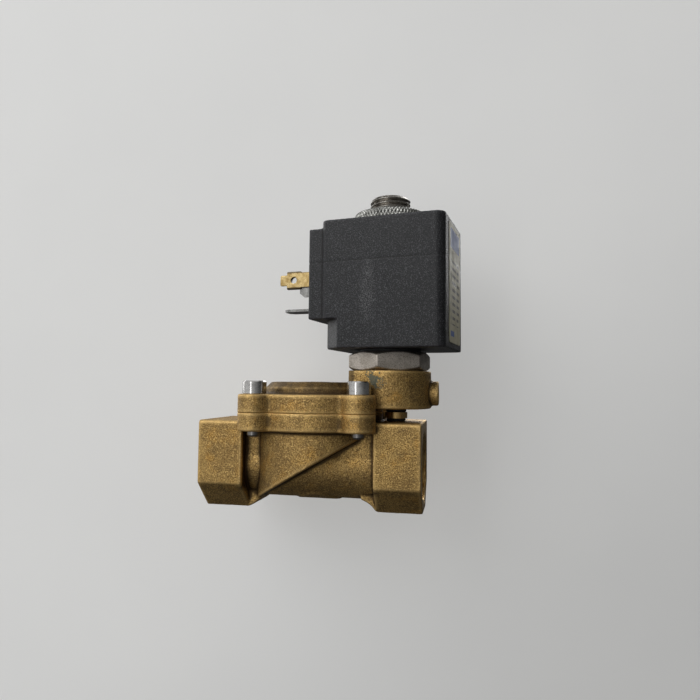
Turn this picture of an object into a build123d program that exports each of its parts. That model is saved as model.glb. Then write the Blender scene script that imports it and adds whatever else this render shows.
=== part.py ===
from build123d import *
from math import cos, pi, radians, sin
import os

# Pilot-operated two-way brass solenoid valve, two G1/2 ports.
# Millimetres. The origin is where the port axis (X) crosses the diaphragm axis (Z).
# Flow runs from the -X port to the +X port. The pilot turret and coil stand over the +X end.

# ---- Body: spanner ends, ports and chamber -------------------------------------------------
INLET_FACE_X = -34.5
OUTLET_FACE_X = 33.5
INLET_SHOULDER_X = -20.3
OUTLET_SHOULDER_X = 19.5
END_HALF = 13.5               # 27 mm across flats
END_CHAMFER = 7.9
END_EDGE_ROUND = 0.9
RUN_R = 10.5                  # horizontal pipe between the ends
NECK_HALF_Y = 10.0            # upright walls between the run and the flange
FLARE_LENGTH = 4.5
FLARE_HALF_Y = 6.5
INLET_FLARE_FULLNESS = 0.63    # 0.5 is a straight slope, more bulges, less is hollow
OUTLET_FLARE_FULLNESS = 0.30
CHAMBER_R = 18.6
WALL_ANGLE = 30.4             # slope of the wall between inlet and outlet sides
WALL_Z = -0.3                 # height of that wall's outside face on the diaphragm axis
WALL_THICKNESS = 2.6
FOOT_R = 6.8
FOOT_X = 1.0
FOOT_STEP = 0.4               # how far the foot pad stands off the run

THREAD_MINOR_R = 9.316        # G1/2, drawn as a plain hole at the thread's minor radius
THREAD_MAJOR_R = 10.478
THREAD_DEPTH = 12.0
MOUTH_CHAMFER = 1.3
PORT_RELIEF = 1.6
WATERWAY_R = 8.0

# ---- Flange, cover and screws --------------------------------------------------------------
FLANGE_BOTTOM_Z = 10.66
SPLIT_Z = 16.08
COVER_TOP_Z = 21.58
FLANGE_R = 20.5
LOBE_R = 4.9
SCREW_POS = 15.75
SCREW_R = 1.98
SCREW_HOLE_BODY_R = 2.0
SCREW_HOLE_COVER_R = 2.25
SCREW_HEAD_R = 3.52
SCREW_HEAD_TOP_Z = 25.5
SCREW_TIP_Z = 9.0
SOCKET_AF = 3.0
SOCKET_DEPTH = 2.2
DOME_R = 16.7
DOME_CHAMFER = 1.8
DOME_TOP_Z = 25.3

# ---- Pilot turret --------------------------------------------------------------------------
TUBE_X = 22.75                # axis of the armature tube and coil
TURRET_R = 12.78
TURRET_BOTTOM_Z = 17.44
TURRET_TOP_Z = 28.84
BRIDGE_HALF_Y = 11.0
BRIDGE_START_X = 11.7
BOSS_R = 3.75
BOSS_Z = 22.1
BOSS_FACE_X = 37.9
LINK_X = 24.8
LINK_COLLAR_R = 3.45
LINK_COLLAR_Z = (14.45, 16.3)
LINK_SPIGOT_R = 2.0
LINK_SPIGOT_Z = (11.7, 19.4)
PILOT_FLOOR_Z = 24.0
PILOT_BORE_R = 8.3
DRAIN_R = 1.0
PLUG_R = 1.8
PLUG_LENGTH = 3.0
NOZZLE_TOP_Z = 26.0
NOZZLE_BASE_Z = 23.2
NOZZLE_FOOT_R = 2.2
NOZZLE_COLLAR_R = 3.2
NOZZLE_COLLAR = 0.6
NOZZLE_NECK_R = 2.0
NOZZLE_TIP_R = 1.2
NOZZLE_BORE_R = 0.7
SUPPLY_R = 0.9                # drilled from above the diaphragm to the pilot bore
SUPPLY_START = (10.4, 0, 20.6)
SUPPLY_RUN = (6.4, 0, 4.0)
OUTLET_DRAIN_R = 0.8          # drilled from the link's socket to the outlet
OUTLET_DRAIN_RUN = (-5.2, 0, -4.4)

# ---- Diaphragm -----------------------------------------------------------------------------
SEAT_Z = 13.0
SEAT_BORE_R = 6.4
SEAT_TUBE_R = 8.6
ANNULUS_R = 14.0
RIM_R = 18.3
RIM_BOTTOM_Z = 14.6
MEMBRANE = 1.4
CROWN_R = 15.2
CLAMP_R = 15.4
DISC_R = 9.6
DISC_THICKNESS = 1.2
STEM_R = 2.9
COVER_CEILING_Z = 22.8
COVER_HOLLOW_R = 12.4         # at the shoulder under the ceiling
COVER_HOLLOW_TOP_R = 12.0
COVER_SHOULDER_Z = 19.6
SPRING_BOSS = 1.2             # round boss on the ceiling that centres the spring
DIAPHRAGM_SPRING_R = 4.6
DIAPHRAGM_WIRE_R = 0.4
BLEED_R = 0.4
BLEED_X = -9.05

# ---- Armature tube, core and plunger -------------------------------------------------------
HEX_AF = 22.6
HEX_BOTTOM_Z = 28.88
HEX_TOP_Z = 34.62
HEX_TURN = -10.0              # direction of one flat's normal, from +X
TUBE_R = 6.5
TUBE_BORE_R = 5.0
TUBE_TOP_Z = 66.0
SPIGOT_BOTTOM_Z = 25.3
CORE_FACE_Z = 55.6
STUD_R = 6.35                 # 1/2-20 UNF
STUD_PITCH = 1.27
STUD_TOP_Z = 83.2
STUD_THREAD_BOTTOM_Z = 73.0
SHADING_RING_R = (3.2, 4.2)
SHADING_RING_DEPTH = 1.8
PLUNGER_R = 4.93
PLUNGER_Z = (26.8, 53.8)
PLUNGER_SEAL_R = 2.6
PLUNGER_BORE_R = 2.75
PLUNGER_BORE_BOTTOM_Z = 42.0
PLUNGER_SPRING_R = 2.1
PLUNGER_WIRE_R = 0.3

# ---- Coil, in its own frame: centre on the tube axis, connector towards -X -----------------
COIL_TURN = 8.98              # the coil as fitted is turned clockwise by this much
COIL_X = (-17.7, 20.05)
COIL_HALF_Y = 15.16
COIL_Z = (35.39, 74.22)
COIL_CORNER_R = 2.6
COIL_BORE_R = 6.57
SKIRT_TOP_Z = 44.2
SKIRT_CORNER = (-12.0, -8.65)
BLOCK_FACE_X = -22.0
BLOCK_HALF_Y = 13.9
BLOCK_Z = (44.24, 72.05)
CONNECTOR_Z = 57.4
BLADE_WIDTH = 4.8
EARTH_WIDTH = 6.3
BLADE_THICKNESS = 0.8
BLADE_ROOT_X = -16.6
BLADE_PITCH = 9.0
EARTH_DROP = 8.7
RECEPTACLE_SHEET = 0.4
RECEPTACLE_X = (-33.6, -31.3, -26.6)   # tip, front and back of the rolled wings
RECEPTACLE_HOLE_R = 1.0
RECEPTACLE_HOLE_X = -28.9
INSERT_R = 2.4
INSERT_BORE_R = 1.25
INSERT_LENGTH = 7.0
BOBBIN_Z = (39.5, 70.1)
BOBBIN_TUBE_R = 7.6
BOBBIN_FLANGE_R = 12.9
BOBBIN_FLANGE = 1.5
WINDING_R = 12.3
YOKE_PLATE = 2.0
YOKE_HALF_Y = 12.0
YOKE_X = (-12.8, 17.2)
FIT = 0.04                    # gap left round a moulded-in piece
LABEL_Y = (-8.2, 10.5)
LABEL_Z = (37.2, 73.2)
LABEL_THICKNESS = 0.15

# ---- Nut and seals -------------------------------------------------------------------------
NUT_R = 11.5
NUT_Z = (74.25, 77.9)
NUT_BORE_R = 6.4
NUT_SEAL_R = 7.4
NUT_SEAL_SECTION_R = 0.65

COIL_FRAME = Pos(TUBE_X, 0, 0) * Rot(0, 0, -COIL_TURN)
WALL_NORMAL = (-sin(radians(WALL_ANGLE)), 0, cos(radians(WALL_ANGLE)))


def upright(r, z0, z1, x=0, y=0):
    """Round bar along Z between two heights."""
    return Pos(x, y, (z0 + z1) / 2) * Cylinder(r, z1 - z0)


def along_x(r, x0, x1, y=0, z=0):
    """Round bar along X between two stations."""
    return Pos((x0 + x1) / 2, y, z) * Rot(0, 90, 0) * Cylinder(r, x1 - x0)


def block(x, y, z):
    """Box given by its low and high coordinate on each axis."""
    size = [high - low for low, high in (x, y, z)]
    centre = [(high + low) / 2 for low, high in (x, y, z)]
    return Pos(*centre) * Box(*size)


def turned(profile, x=0):
    """Solid of revolution about a vertical axis, from (radius, height) points."""
    face = make_face(Polyline(*[(r, 0, z) for r, z in profile], close=True))
    return Pos(x, 0, 0) * revolve(face, Axis.Z)


def ring(major_r, minor_r, z, x=0):
    """Seal ring lying flat."""
    return Pos(x, 0, z) * Torus(major_r, minor_r)


def above_wall(solid, offset):
    """The part of a solid above the sloping wall's outside face, raised by offset."""
    plane = Plane(origin=(0, 0, WALL_Z + offset / WALL_NORMAL[2]), z_dir=WALL_NORMAL)
    return split(solid, bisect_by=plane, keep=Keep.TOP)


def below_wall(solid):
    """The part of a solid below the sloping wall's outside face."""
    plane = Plane(origin=(0, 0, WALL_Z), z_dir=WALL_NORMAL)
    return split(solid, bisect_by=plane, keep=Keep.BOTTOM)


def spanner_end(x0, x1):
    """Square end with its two lower edges cut like an octagon's."""
    low = END_CHAMFER - END_HALF
    outline = Polygon(
        (-END_HALF, END_HALF),
        (-END_HALF, low),
        (low, -END_HALF),
        (-low, -END_HALF),
        (END_HALF, low),
        (END_HALF, END_HALF),
        align=None,
    )
    solid = Pos(x0, 0, 0) * extrude(Plane.YZ * outline, x1 - x0)
    solid = fillet(solid.edges().filter_by(Axis.X), END_EDGE_ROUND)
    rims = solid.faces().filter_by(Axis.X).edges()
    return fillet(rims, END_EDGE_ROUND / 2)


def neck_flare(run_x, shoulder_x, fullness):
    """Rounded step under the run, down to the spanner end's lowest flat."""
    foot_z = 0.2 - END_HALF
    root_z = 0.6 - RUN_R
    middle = ((run_x + shoulder_x) / 2, 0, foot_z * fullness + root_z * (1 - fullness))
    curve = ThreePointArc((run_x, 0, root_z), middle, (shoulder_x, 0, foot_z))
    sides = Polyline((shoulder_x, 0, foot_z), (shoulder_x, 0, -1), (run_x, 0, -1), (run_x, 0, root_z))
    return extrude(make_face(curve + sides), FLARE_HALF_Y, both=True)


def flange_outline():
    """Round middle with four rounded screw lobes."""
    outline = Circle(FLANGE_R)
    reach = SCREW_POS * 2 ** 0.5
    for angle in (45, 135, 225, 315):
        outline += Rot(0, 0, angle) * Pos(reach / 2, 0) * Rectangle(reach, 2 * LOBE_R)
        outline += Rot(0, 0, angle) * Pos(reach, 0) * Circle(LOBE_R)
    notches = [v for v in outline.vertices() if abs(Vector(v.X, v.Y).length - FLANGE_R) < 0.01]
    return fillet(notches, 1.6)


def flange(z0, z1):
    """Flange plate between two heights."""
    return Pos(0, 0, z0) * extrude(flange_outline(), z1 - z0)


def screw_spots():
    """The four screw axes."""
    return [(x, y) for x in (-SCREW_POS, SCREW_POS) for y in (-SCREW_POS, SCREW_POS)]


def port_cut(face_x, inward):
    """Space of one threaded port: mouth, thread hole, relief and the start of the waterway."""
    relief_end = THREAD_DEPTH + PORT_RELIEF
    points = [(-1.0, 0), (-1.0, THREAD_MAJOR_R + MOUTH_CHAMFER), (MOUTH_CHAMFER, THREAD_MINOR_R),
              (THREAD_DEPTH, THREAD_MINOR_R), (relief_end, WATERWAY_R), (relief_end, 0)]
    placed = [(face_x + inward * d, 0, r) for d, r in points]
    return revolve(make_face(Polyline(*placed, close=True)), Axis.X)


def valve_body():
    """Brass casting: two ends, the run, the diaphragm chamber and its flange."""
    solid = spanner_end(INLET_FACE_X, INLET_SHOULDER_X)
    solid += spanner_end(OUTLET_SHOULDER_X, OUTLET_FACE_X)
    solid += along_x(RUN_R, INLET_SHOULDER_X - 1, OUTLET_SHOULDER_X + 1)
    solid += neck_flare(INLET_SHOULDER_X + FLARE_LENGTH, INLET_SHOULDER_X, INLET_FLARE_FULLNESS)
    solid += neck_flare(OUTLET_SHOULDER_X - FLARE_LENGTH, OUTLET_SHOULDER_X, OUTLET_FLARE_FULLNESS)
    for shoulder_x in (INLET_SHOULDER_X - 1, OUTLET_SHOULDER_X + 1):
        neck_x = sorted((shoulder_x, shoulder_x / 3))
        solid += block(neck_x, (-NECK_HALF_Y, NECK_HALF_Y), (-RUN_R / 3, FLANGE_BOTTOM_Z + 0.5))
    solid += above_wall(upright(CHAMBER_R, -20, FLANGE_BOTTOM_Z + 0.5), 0)
    foot_sleeve = along_x(RUN_R + FOOT_STEP, FOOT_X - FOOT_R - 1, FOOT_X + FOOT_R + 1)
    solid += foot_sleeve & upright(FOOT_R, -RUN_R - 1, -RUN_R / 2, FOOT_X)
    solid += flange(FLANGE_BOTTOM_Z, SPLIT_Z)
    solid -= port_cut(INLET_FACE_X, 1)
    solid -= port_cut(OUTLET_FACE_X, -1)
    solid -= body_waterways()
    solid -= upright(RIM_R + 0.05, RIM_BOTTOM_Z, SPLIT_Z + 1)
    for x, y in screw_spots():
        solid -= upright(SCREW_HOLE_BODY_R, FLANGE_BOTTOM_Z - 1, SPLIT_Z + 1, x, y)
    solid -= upright(LINK_SPIGOT_R + 0.05, LINK_SPIGOT_Z[0] - 0.3, END_HALF + 1, LINK_X)
    return solid - drain_to_outlet()


def body_waterways():
    """Inlet passage and annulus above the sloping wall, outlet passage below it."""
    inlet_start = INLET_FACE_X + THREAD_DEPTH
    inlet = along_x(WATERWAY_R - 0.4, inlet_start, 1.5 - SEAT_TUBE_R) + upright(ANNULUS_R, -20, SEAT_Z)
    inlet = above_wall(inlet, WALL_THICKNESS)
    mouth_top = RIM_BOTTOM_Z + 0.1
    inlet += turned([(0, SEAT_Z - 1), (CLAMP_R - 0.4, SEAT_Z - 1), (CLAMP_R, mouth_top), (0, mouth_top)])
    inlet -= upright(SEAT_TUBE_R, -20, SEAT_Z - 0.6)
    inlet -= upright(SEAT_TUBE_R - 0.9, -20, SEAT_Z)
    outlet = along_x(WATERWAY_R, -SEAT_BORE_R - 1.0, OUTLET_FACE_X - THREAD_DEPTH)
    outlet = below_wall(outlet)
    return inlet + outlet + upright(SEAT_BORE_R, WALL_Z - 3.5, SEAT_Z + 1)


def drain_to_outlet():
    """Small slanted hole from the link's socket into the outlet, behind the thread."""
    top = Vector(LINK_X, 0, LINK_SPIGOT_Z[0])
    run = Vector(OUTLET_DRAIN_RUN)
    return Plane(origin=top + run * 0.5, z_dir=run) * Cylinder(OUTLET_DRAIN_R, run.length)


def cover():
    """Brass cover: flange, low dome, and the pilot turret with its drilled passages."""
    solid = flange(SPLIT_Z, COVER_TOP_Z)
    solid += turned([(0, COVER_TOP_Z - 1), (DOME_R, COVER_TOP_Z - 1), (DOME_R, DOME_TOP_Z - DOME_CHAMFER),
                     (DOME_R - DOME_CHAMFER, DOME_TOP_Z), (0, DOME_TOP_Z)])
    solid += upright(TURRET_R, TURRET_BOTTOM_Z, TURRET_TOP_Z, TUBE_X)
    solid += block((BRIDGE_START_X, TUBE_X), (-BRIDGE_HALF_Y, BRIDGE_HALF_Y), (COVER_TOP_Z - 1, TURRET_TOP_Z))
    solid += along_x(BOSS_R, TUBE_X + TURRET_R - 2, BOSS_FACE_X, z=BOSS_Z)
    solid -= turned([(0, SPLIT_Z - 1), (CLAMP_R, SPLIT_Z - 1), (CLAMP_R, SPLIT_Z),
                     (COVER_HOLLOW_R, COVER_SHOULDER_Z), (COVER_HOLLOW_TOP_R, COVER_CEILING_Z),
                     (0, COVER_CEILING_Z)])
    solid += upright(DIAPHRAGM_SPRING_R - 1.0, COVER_CEILING_Z - SPRING_BOSS, COVER_CEILING_Z + 0.5)
    solid -= upright(PILOT_BORE_R, PILOT_FLOOR_Z, TURRET_TOP_Z + 1, TUBE_X)
    solid -= upright(NOZZLE_FOOT_R, NOZZLE_BASE_Z, PILOT_FLOOR_Z + 1, TUBE_X)
    solid -= upright(DRAIN_R, BOSS_Z, NOZZLE_BASE_Z + 1, TUBE_X)
    solid -= along_x(DRAIN_R, TUBE_X - DRAIN_R, BOSS_FACE_X + 1, z=BOSS_Z)
    solid -= along_x(PLUG_R, BOSS_FACE_X - PLUG_LENGTH - 0.4, BOSS_FACE_X + 1, z=BOSS_Z)
    solid -= upright(DRAIN_R, TURRET_BOTTOM_Z - 1, BOSS_Z, LINK_X)
    solid -= upright(LINK_SPIGOT_R + 0.05, TURRET_BOTTOM_Z - 1, LINK_SPIGOT_Z[1] + 0.3, LINK_X)
    solid -= supply_passage()
    for x, y in screw_spots():
        solid -= upright(SCREW_HOLE_COVER_R, SPLIT_Z - 1, COVER_TOP_Z + 1, x, y)
    return solid


def supply_passage():
    """Slanted hole from the space above the diaphragm up to the pilot bore."""
    run = Vector(SUPPLY_RUN)
    return Plane(origin=Vector(SUPPLY_START) + run * 0.5, z_dir=run) * Cylinder(SUPPLY_R, run.length)


def cover_screws():
    """Four M4 socket head screws, shown with plain shanks."""
    screws = []
    for x, y in screw_spots():
        screw = turned([(0, SCREW_TIP_Z), (SCREW_R - 0.5, SCREW_TIP_Z), (SCREW_R, SCREW_TIP_Z + 0.5),
                        (SCREW_R, COVER_TOP_Z), (SCREW_HEAD_R - 0.15, COVER_TOP_Z),
                        (SCREW_HEAD_R, COVER_TOP_Z + 0.15), (SCREW_HEAD_R, SCREW_HEAD_TOP_Z - 0.35),
                        (SCREW_HEAD_R - 0.35, SCREW_HEAD_TOP_Z), (0, SCREW_HEAD_TOP_Z)])
        socket = extrude(RegularPolygon(SOCKET_AF / 2, 6, major_radius=False), SOCKET_DEPTH + 1)
        screw -= Pos(0, 0, SCREW_HEAD_TOP_Z - SOCKET_DEPTH) * socket
        screws.append(Pos(x, y, 0) * screw)
    return Compound(children=screws)


def pilot_link():
    """Brass link tube between turret and outlet end."""
    low, high = LINK_SPIGOT_Z
    solid = upright(LINK_SPIGOT_R, low, high, LINK_X)
    solid += upright(LINK_COLLAR_R, *LINK_COLLAR_Z, LINK_X)
    return solid - upright(DRAIN_R, low - 1, high + 1, LINK_X)


def link_seal(z0, z1):
    """Seal ring filling the gap between the link's collar and the metal facing it."""
    section_r = (z1 - z0) / 2
    return ring(LINK_SPIGOT_R + section_r, section_r, z0 + section_r, LINK_X)


def passage_plug():
    """Plug in the end of the cross-drilled drain."""
    return along_x(PLUG_R, BOSS_FACE_X - PLUG_LENGTH, BOSS_FACE_X - 0.3, z=BOSS_Z)


def pilot_seat():
    """Brass nozzle that the plunger's seal closes."""
    collar_top = PILOT_FLOOR_Z + NOZZLE_COLLAR
    solid = turned([(0, NOZZLE_BASE_Z), (NOZZLE_FOOT_R, NOZZLE_BASE_Z), (NOZZLE_FOOT_R, PILOT_FLOOR_Z),
                    (NOZZLE_COLLAR_R, PILOT_FLOOR_Z), (NOZZLE_COLLAR_R, collar_top),
                    (NOZZLE_NECK_R, collar_top), (NOZZLE_TIP_R, NOZZLE_TOP_Z), (0, NOZZLE_TOP_Z)], TUBE_X)
    return solid - upright(NOZZLE_BORE_R, NOZZLE_BASE_Z - 1, NOZZLE_TOP_Z + 1, TUBE_X)


def diaphragm():
    """Rubber membrane: clamped rim, sloping web and the flat middle that lies on the seat."""
    flat_top = SEAT_Z + MEMBRANE
    solid = turned([(STEM_R, SEAT_Z), (10.2, SEAT_Z), (CROWN_R, RIM_BOTTOM_Z), (RIM_R, RIM_BOTTOM_Z),
                    (RIM_R, SPLIT_Z), (CROWN_R, SPLIT_Z), (9.8, flat_top), (STEM_R, flat_top)])
    return solid - upright(BLEED_R, SEAT_Z - 1, SPLIT_Z, BLEED_X)


def diaphragm_disc():
    """Steel support disc on top of the membrane, with a rolled edge and the bleed hole."""
    low = SEAT_Z + MEMBRANE
    high = low + DISC_THICKNESS
    solid = turned([(STEM_R, low), (DISC_R, low), (DISC_R, high + 0.6), (DISC_R - 0.9, high + 0.6),
                    (DISC_R - 0.9, high), (STEM_R, high)])
    return solid - upright(BLEED_R, low - 1, high + 2, BLEED_X)


def diaphragm_stem():
    """Brass rivet that holds disc and membrane together and centres the spring."""
    top = SEAT_Z + MEMBRANE + DISC_THICKNESS
    return turned([(0, SEAT_Z - 1.4), (SEAT_BORE_R - 0.9, SEAT_Z - 1.4), (SEAT_BORE_R - 0.9, SEAT_Z),
                   (STEM_R, SEAT_Z), (STEM_R, top), (STEM_R + 0.8, top), (STEM_R + 0.4, top + 1.3),
                   (0, top + 1.3)])


def spring(mean_r, wire_r, z0, z1, turns, x=0):
    """Compression spring whose wire touches the planes z0 and z1."""
    height = z1 - z0 - 2 * wire_r
    path = Helix(height / turns, height, mean_r)
    section = Plane(origin=path @ 0, z_dir=path % 0) * Circle(wire_r)
    return Pos(x, 0, z0 + wire_r) * sweep(section, path=path, is_frenet=True)


def diaphragm_spring():
    """Spring that closes the diaphragm, from the disc to the cover's ceiling."""
    bottom = SEAT_Z + MEMBRANE + DISC_THICKNESS
    return spring(DIAPHRAGM_SPRING_R, DIAPHRAGM_WIRE_R, bottom, COVER_CEILING_Z, 3)


def armature_tube():
    """Stainless tube with its hexagon base and the spigot that screws into the turret."""
    chamfer = 0.9
    flat_r = HEX_AF / 2
    corner_r = flat_r / cos(pi / 6)
    prism = Pos(TUBE_X, 0, HEX_BOTTOM_Z) * Rot(0, 0, HEX_TURN + 30) * extrude(
        RegularPolygon(flat_r, 6, major_radius=False), HEX_TOP_Z - HEX_BOTTOM_Z)
    barrel = turned([(0, HEX_BOTTOM_Z), (flat_r + 0.2, HEX_BOTTOM_Z),
                     (corner_r + 0.1, HEX_BOTTOM_Z + chamfer), (corner_r + 0.1, HEX_TOP_Z - chamfer),
                     (flat_r + 0.2, HEX_TOP_Z), (0, HEX_TOP_Z)], TUBE_X)
    solid = prism & barrel
    solid += upright(TUBE_R, HEX_TOP_Z - 1, TUBE_TOP_Z, TUBE_X)
    solid += upright(PILOT_BORE_R - 0.05, SPIGOT_BOTTOM_Z, HEX_BOTTOM_Z + 1, TUBE_X)
    return solid - upright(TUBE_BORE_R, SPIGOT_BOTTOM_Z - 1, TUBE_TOP_Z + 1, TUBE_X)


def tube_oring():
    """Seal under the tube's spigot."""
    section_r = (SPIGOT_BOTTOM_Z - PILOT_FLOOR_Z) / 2
    return ring(PILOT_BORE_R - 0.1 - section_r, section_r, PILOT_FLOOR_Z + section_r, TUBE_X)


def fixed_core():
    """Steel core closing the tube, with the 1/2-20 stud above the coil. Thread as plain grooves."""
    depth = 0.61 * STUD_PITCH
    points = [(0, CORE_FACE_Z), (TUBE_BORE_R - 0.02, CORE_FACE_Z), (TUBE_BORE_R - 0.02, TUBE_TOP_Z),
              (STUD_R, TUBE_TOP_Z)]
    z = STUD_THREAD_BOTTOM_Z
    while z + STUD_PITCH < STUD_TOP_Z - 0.6:
        points.append((STUD_R, z))
        points.append((STUD_R - depth, z + STUD_PITCH * 0.44))
        points.append((STUD_R, z + STUD_PITCH * 0.88))
        z += STUD_PITCH
    points.extend([(STUD_R, STUD_TOP_Z - 0.8), (STUD_R - 0.8, STUD_TOP_Z), (0, STUD_TOP_Z)])
    solid = turned(points, TUBE_X)
    return solid - shading_ring_space(0.02)


def shading_ring_space(gap):
    """Ring-shaped space in the core's face."""
    inner_r, outer_r = SHADING_RING_R
    top = CORE_FACE_Z + SHADING_RING_DEPTH + gap
    outer = upright(outer_r + gap, CORE_FACE_Z - gap, top, TUBE_X)
    return outer - upright(inner_r - gap, CORE_FACE_Z - 1, top + 1, TUBE_X)


def shading_ring():
    """Copper ring that steadies the core's pull on alternating current."""
    return shading_ring_space(0)


def plunger():
    """Moving iron with a pocket for its seal and a bore for its spring."""
    low, high = PLUNGER_Z
    solid = upright(PLUNGER_R, low, high, TUBE_X)
    solid -= upright(PLUNGER_SEAL_R + 0.02, low - 1, low + 2.0, TUBE_X)
    return solid - upright(PLUNGER_BORE_R, PLUNGER_BORE_BOTTOM_Z, high + 1, TUBE_X)


def plunger_seal():
    """Rubber disc that closes the nozzle."""
    return upright(PLUNGER_SEAL_R, NOZZLE_TOP_Z, PLUNGER_Z[0] + 2.0, TUBE_X)


def plunger_spring():
    """Return spring between the plunger's bore and the fixed core."""
    return spring(PLUNGER_SPRING_R, PLUNGER_WIRE_R, PLUNGER_BORE_BOTTOM_Z, CORE_FACE_Z, 9, TUBE_X)


def coil_casing_outer():
    """Outside shape of the coil moulding, without its bore."""
    low, high = COIL_Z
    solid = block(COIL_X, (-COIL_HALF_Y, COIL_HALF_Y), COIL_Z)
    solid = fillet(solid.edges().filter_by(Axis.Z), COIL_CORNER_R)
    corner_x, corner_y = SKIRT_CORNER
    for side in (-1, 1):
        wedge = Polygon((corner_x, side * (COIL_HALF_Y + 5)), (corner_x, side * COIL_HALF_Y),
                        (COIL_X[0], -side * corner_y), (COIL_X[0] - 3, -side * corner_y),
                        (COIL_X[0] - 3, side * (COIL_HALF_Y + 5)), align=None)
        solid -= Pos(0, 0, low - 1) * extrude(wedge, SKIRT_TOP_Z - low + 1)
    solid += block((BLOCK_FACE_X, COIL_X[0] + COIL_CORNER_R), (-BLOCK_HALF_Y, BLOCK_HALF_Y), BLOCK_Z)
    return solid


def winding_space(gap):
    """Space of bobbin and winding inside the moulding."""
    return upright(BOBBIN_FLANGE_R + gap, BOBBIN_Z[0] - gap, BOBBIN_Z[1] + gap)


def yoke_shape(gap):
    """Bent steel strap round the winding: two plates joined on the label side."""
    y = (-YOKE_HALF_Y - gap, YOKE_HALF_Y + gap)
    x = (YOKE_X[0] - gap, YOKE_X[1] + gap)
    low, high = BOBBIN_Z
    solid = block(x, y, (low - YOKE_PLATE - gap, low))
    solid += block(x, y, (high, high + YOKE_PLATE + gap))
    z = (low - YOKE_PLATE - gap, high + YOKE_PLATE + gap)
    return solid + block((YOKE_X[1] - YOKE_PLATE - gap, x[1]), y, z)


def blade(y, z, width, tip_x, upright_blade, gap):
    """Flat plug terminal from its moulded-in root to its tapered tip."""
    half_width = width / 2 + gap
    tip_half = width / 2 - 1.3
    outline = Polygon((BLADE_ROOT_X + gap, half_width), (BLADE_ROOT_X + gap, -half_width),
                      (tip_x + 1.6, -half_width), (tip_x, -tip_half),
                      (tip_x, tip_half), (tip_x + 1.6, half_width), align=None)
    plane = Plane.XZ if upright_blade else Plane.XY
    return Pos(0, y, z) * extrude(plane * outline, BLADE_THICKNESS / 2 + gap, both=True)


def terminals(gap=0):
    """The three blades: near, far and earth."""
    near = blade(-BLADE_PITCH, CONNECTOR_Z, BLADE_WIDTH, -31.2, True, gap)
    near -= Pos(RECEPTACLE_HOLE_X, -BLADE_PITCH, CONNECTOR_Z) * Rot(90, 0, 0) * Cylinder(RECEPTACLE_HOLE_R, 3)
    far = blade(BLADE_PITCH, CONNECTOR_Z, BLADE_WIDTH, -35.2, True, gap)
    earth = blade(0, CONNECTOR_Z - EARTH_DROP, EARTH_WIDTH, -35.6, False, gap)
    return near, far, earth


def coil_body():
    """Moulded casing with spaces for everything it was moulded round."""
    solid = coil_casing_outer()
    solid -= upright(COIL_BORE_R, COIL_Z[0] - 1, COIL_Z[1] + 1)
    solid -= upright(NUT_SEAL_R + NUT_SEAL_SECTION_R + 0.15, COIL_Z[1] - 0.62, COIL_Z[1] + 1)
    solid -= winding_space(FIT)
    solid -= yoke_shape(FIT)
    solid -= along_x(INSERT_R + 0.01, BLOCK_FACE_X - 1, BLOCK_FACE_X + INSERT_LENGTH, z=CONNECTOR_Z)
    for space in terminals(0.01):
        solid -= space
    return COIL_FRAME * solid


def coil_bobbin():
    """Plastic bobbin."""
    low, high = BOBBIN_Z
    solid = turned([(COIL_BORE_R, low), (BOBBIN_FLANGE_R, low), (BOBBIN_FLANGE_R, low + BOBBIN_FLANGE),
                    (BOBBIN_TUBE_R, low + BOBBIN_FLANGE), (BOBBIN_TUBE_R, high - BOBBIN_FLANGE),
                    (BOBBIN_FLANGE_R, high - BOBBIN_FLANGE), (BOBBIN_FLANGE_R, high), (COIL_BORE_R, high)])
    return COIL_FRAME * solid


def coil_winding():
    """Copper winding as one solid ring."""
    inset = BOBBIN_FLANGE + FIT
    low, high = BOBBIN_Z
    solid = upright(WINDING_R, low + inset, high - inset)
    return COIL_FRAME * (solid - upright(BOBBIN_TUBE_R + FIT, low, high))


def coil_yoke():
    """Steel yoke with clearance holes for the tube."""
    solid = yoke_shape(0) - winding_space(FIT / 2)
    return COIL_FRAME * (solid - upright(COIL_BORE_R, COIL_Z[0], COIL_Z[1]))


def spade_receptacle():
    """Push-on receptacle: a flat sheet whose wings are rolled round the near blade's edges."""
    tip_x, wing_front, wing_back = RECEPTACLE_X
    inner_y = -BLADE_PITCH - BLADE_THICKNESS / 2 - 0.03
    outer_y = inner_y - RECEPTACLE_SHEET
    rear_y = -BLADE_PITCH + BLADE_THICKNESS / 2 + 0.03
    inner_half = BLADE_WIDTH / 2 + 0.03
    outer_half = inner_half + RECEPTACLE_SHEET
    wing_x = (wing_front, wing_back)
    wrap = block(wing_x, (outer_y, rear_y + RECEPTACLE_SHEET), (-outer_half, outer_half))
    wrap = fillet(wrap.edges().filter_by(Axis.X), 0.38)
    wrap -= block((wing_front - 1, wing_back + 1), (inner_y, rear_y), (-inner_half, inner_half))
    gap_half = outer_half - 1.3
    wrap -= block((wing_front - 1, wing_back + 1), (inner_y, rear_y + 1), (-gap_half, gap_half))
    base = block((wing_back - 0.1, BLOCK_FACE_X - 0.03), (outer_y, inner_y), (-inner_half, inner_half))
    tongue = block((tip_x, wing_front + 0.1), (outer_y, inner_y), (-1.7, 1.7))
    tongue = fillet(tongue.edges().filter_by(Axis.Y).group_by(Axis.X)[0], 0.5)
    solid = wrap + base + tongue
    solid -= Pos(RECEPTACLE_HOLE_X, inner_y, 0) * Rot(90, 0, 0) * Cylinder(RECEPTACLE_HOLE_R, 3)
    return COIL_FRAME * Pos(0, 0, CONNECTOR_Z) * solid


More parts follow.
